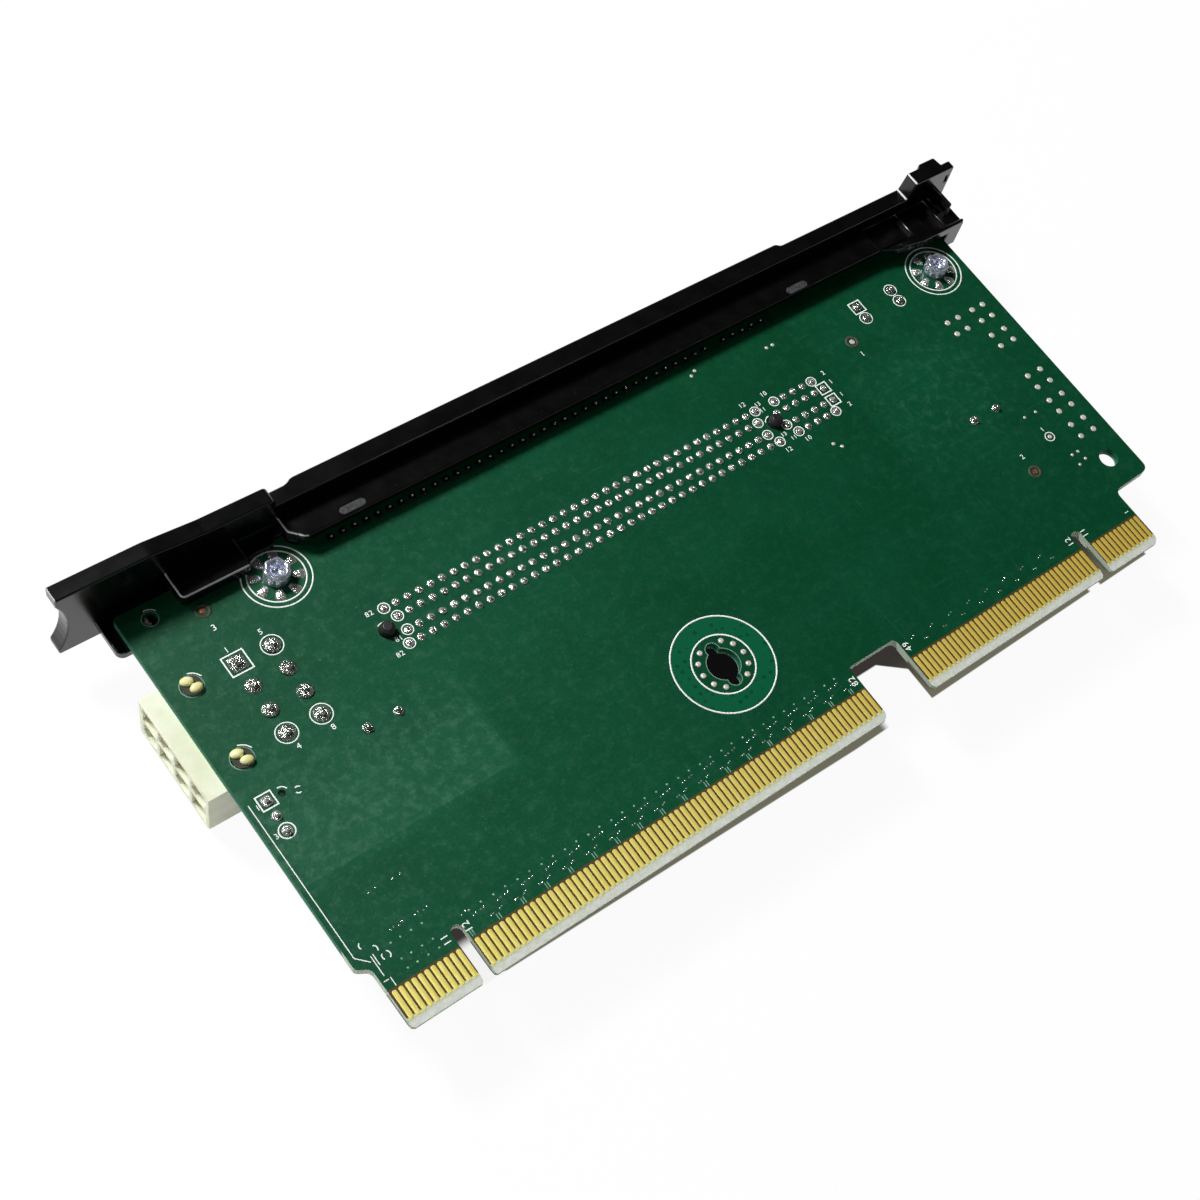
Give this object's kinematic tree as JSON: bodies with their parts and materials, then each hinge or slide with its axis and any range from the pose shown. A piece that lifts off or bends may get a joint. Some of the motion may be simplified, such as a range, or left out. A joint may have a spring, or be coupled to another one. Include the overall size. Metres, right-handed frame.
{
  "type": "pcie riser card",
  "caption": "Green expansion riser board with gold edge tongues, long card slots and a power inlet underneath, and a black moulded bracket screwed along its top edge.",
  "frame": {"origin": "centre of the bounding box, at the plane of the slots' mouths that the card rests on", "axes": "+X along the gold fingers from the long tongue's first contact to the short tongue, +Y up the board from the fingers to the bracket, +Z out of the board's solder face"},
  "size_m": [0.1676, 0.0766, 0.0221],
  "materials": {
    "board_laminate": "glossy green solder mask over glass-fibre laminate",
    "gold_plate": "bright gold plating",
    "solder": "bright tin solder",
    "slot_plastic": "moulded black plastic",
    "ivory_plastic": "moulded natural nylon",
    "tin_plate": "tin-plated terminals",
    "can_aluminium": "drawn aluminium",
    "bung_rubber": "black rubber",
    "ceramic": "fired ceramic",
    "chip_plastic": "moulded epoxy",
    "header_plastic": "moulded off-white plastic",
    "switch_plastic": "moulded black plastic",
    "slider_plastic": "moulded white plastic",
    "bracket_plastic": "satin-gloss black moulding",
    "screw_steel": "nickel-plated steel"
  },
  "bodies": {
    "root": {"circuit_board": "board_laminate", "x16_fingers_solder_side": "gold_plate", "x16_fingers_component_side": "gold_plate", "x8_fingers_solder_side": "gold_plate", "x8_fingers_component_side": "gold_plate", "screw_spoke_pads": "solder", "slot_1_housing": "slot_plastic", "slot_1_contacts": "gold_plate", "slot_1_solder_joints": "solder", "slot_2_housing": "slot_plastic", "slot_2_contacts": "gold_plate", "slot_2_solder_joints": "solder", "power_inlet_housing": "ivory_plastic", "power_inlet_terminals": "tin_plate", "power_inlet_solder_joints": "solder", "cable_header_base": "header_plastic", "cable_header_pins": "tin_plate", "cable_header_solder_joints": "solder", "capacitor_cans": "can_aluminium", "capacitor_bungs": "bung_rubber", "capacitor_solder_joints": "solder", "ceramic_power_capacitors": "ceramic", "ceramic_coupling_capacitors": "ceramic", "option_switch_body": "switch_plastic", "option_switch_sliders": "slider_plastic", "option_switch_solder_joints": "solder", "memory_chip_body": "chip_plastic", "memory_chip_leads": "tin_plate", "clock_buffer_chip": "chip_plastic", "bracket": "bracket_plastic", "bracket_screws": "screw_steel"}
  },
  "joints": []
}
